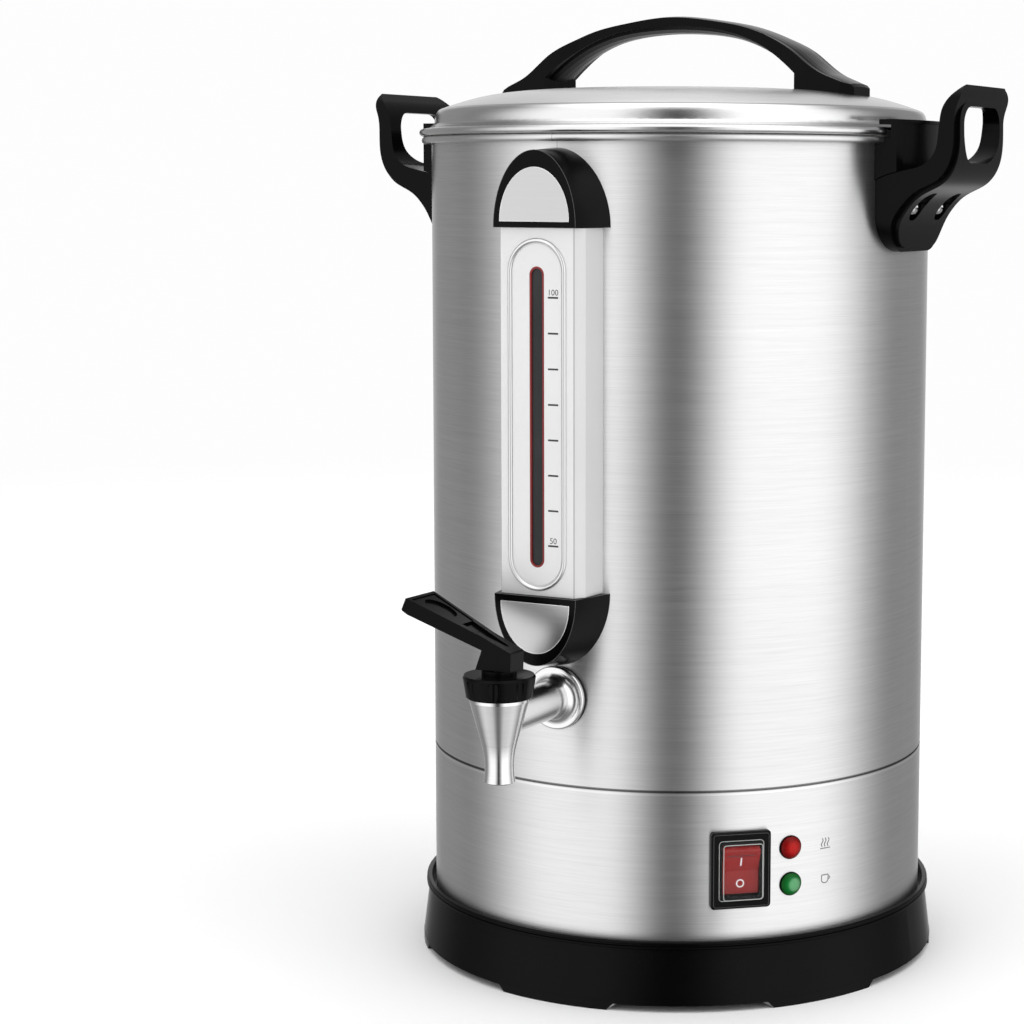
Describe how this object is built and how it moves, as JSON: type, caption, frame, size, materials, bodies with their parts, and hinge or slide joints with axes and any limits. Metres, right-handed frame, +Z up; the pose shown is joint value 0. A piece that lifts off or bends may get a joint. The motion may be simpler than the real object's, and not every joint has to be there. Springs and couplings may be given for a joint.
{
  "type": "coffee urn",
  "caption": "Tall steel percolator urn with a domed twist lid, side handles, sight gauge, lever tap, rocker switch, lamps, and a pump tube with a basket inside.",
  "frame": {"origin": "on the floor, on the vertical axis of the drum", "axes": "+Z up, -Y towards the tap and the gauge, +X towards the side handle on the switch's side"},
  "size_m": [0.3632, 0.3651, 0.5272],
  "materials": {
    "brushed_body_steel": "fine brush lines round the drum",
    "polished_lid_steel": "satin polished",
    "satin_steel": "satin",
    "tap_steel": "turned and satin polished",
    "screw_steel": "bright",
    "spring_steel": "bright",
    "zinc_steel": "zinc plated",
    "silver_channel": "silver satin lacquer",
    "chrome_trim": "satin bright",
    "gauge_glass": "clear tube",
    "dark_strip": "matt",
    "black_plastic": "fine satin moulding",
    "grey_rubber": "matt",
    "black_rubber": "matt",
    "silicone": "translucent",
    "nylon": "plain",
    "red_rocker": "translucent gloss",
    "clear_cover": "clear",
    "red_lens": "translucent gloss",
    "green_lens": "translucent gloss",
    "brass_tabs": "tinned",
    "heater_sheath": "oxidised",
    "wire_sleeve": "glass sleeve"
  },
  "bodies": {
    "root": {"base_housing": "brushed_body_steel", "base_ring": "black_plastic", "bottom_plate": "zinc_steel", "bottom_screws": "screw_steel", "cap_inserts": "satin_steel", "foot_pads": "grey_rubber", "gauge_back_strip": "dark_strip", "gauge_bezel": "chrome_trim", "gauge_cap_bottom": "black_plastic", "gauge_cap_top": "black_plastic", "gauge_channel": "silver_channel", "gauge_nipple": "screw_steel", "gauge_scale_plate": "silver_channel", "gauge_seals": "silicone", "gauge_tube": "gauge_glass", "handle_bolts": "screw_steel", "heater_ring": "heater_sheath", "inlet_pins": "brass_tabs", "inlet_screws": "screw_steel", "lamp_bodies": "black_plastic", "lamp_green_lens": "green_lens", "lamp_red_lens": "red_lens", "power_inlet": "black_plastic", "rim_guard_left": "black_plastic", "rim_guard_right": "black_plastic", "side_handle_left": "black_plastic", "side_handle_right": "black_plastic", "switch_cover": "clear_cover", "switch_frame": "black_plastic", "switch_terminals": "brass_tabs", "tank_floor": "satin_steel", "tank_shell": "brushed_body_steel", "tap_body": "tap_steel", "tap_bonnet": "black_plastic", "tap_flange": "tap_steel", "tap_gaskets": "black_rubber", "tap_locknut": "screw_steel", "tap_shank": "tap_steel", "tap_spring": "spring_steel", "terminal_block": "nylon", "thermal_cutout": "zinc_steel", "thermostat": "zinc_steel", "well_heater": "heater_sheath", "wiring": "wire_sleeve"},
    "lid_seal": {"lid_seal": "silicone"},
    "lid": {"lid_shell": "polished_lid_steel", "lid_handle": "black_plastic", "lid_handle_screws": "screw_steel"},
    "basket": {"basket": "satin_steel", "pump_tube": "satin_steel", "pump_foot": "satin_steel", "spreader_spring": "spring_steel"},
    "spreader": {"spreader_plate": "polished_lid_steel"},
    "valve": {"valve_washer": "satin_steel"},
    "tap_washer": {"tap_heel_washer": "black_plastic"},
    "tap_stem": {"tap_stem": "screw_steel", "tap_seat_cup": "silicone"},
    "tap_lever": {"tap_lever": "black_plastic", "tap_lever_pin": "screw_steel"},
    "rocker": {"switch_rocker": "red_rocker"}
  },
  "joints": [
    {"name": "lid_lift", "type": "slide", "parent": "root", "child": "lid_seal", "axis": [0, 0, 1], "range_m": [0, 0.6]},
    {"name": "lid_turn", "type": "hinge", "parent": "lid_seal", "child": "lid", "pos_m": [0, 0, 0.4598], "axis": [0, 0, 1], "range_deg": [0, 20]},
    {"name": "basket_lift", "type": "slide", "parent": "root", "child": "basket", "axis": [0, 0, 1], "range_m": [0, 0.36]},
    {"name": "spreader_press", "type": "slide", "parent": "basket", "child": "spreader", "axis": [0, 0, -1], "range_m": [0, 0.005], "stiffness_N_per_m": 300, "springref_m": -0.003, "deforming": ["spreader_spring"]},
    {"name": "valve_lift", "type": "slide", "parent": "basket", "child": "valve", "axis": [0, 0, 1], "range_m": [0, 0.003]},
    {"name": "tap_swivel", "type": "hinge", "parent": "root", "child": "tap_washer", "pos_m": [0, -0.1992, 0.1872], "axis": [0, 0, 1], "range_deg": [0, 180]},
    {"name": "stem_lift", "type": "slide", "parent": "tap_washer", "child": "tap_stem", "axis": [0, 0, 1], "range_m": [0, 0.0045], "deforming": ["tap_spring"]},
    {"name": "lever_tilt", "type": "hinge", "parent": "tap_stem", "child": "tap_lever", "pos_m": [0, -0.1992, 0.195], "axis": [0, -1, 0], "range_deg": [0, 25], "stiffness_Nm_per_rad": 0.3, "springref_deg": -17.19},
    {"name": "switch_rock", "type": "hinge", "parent": "root", "child": "rocker", "pos_m": [0.08868, -0.10311, 0.075], "axis": [-0.7581, -0.6521, 0], "range_deg": [0, 20]}
  ],
  "couplings": [
    {"joint": "basket_lift", "follows": "lid_lift", "ratio": 0.6},
    {"joint": "stem_lift", "follows": "lever_tilt", "m_per_rad": 0.0097}
  ]
}
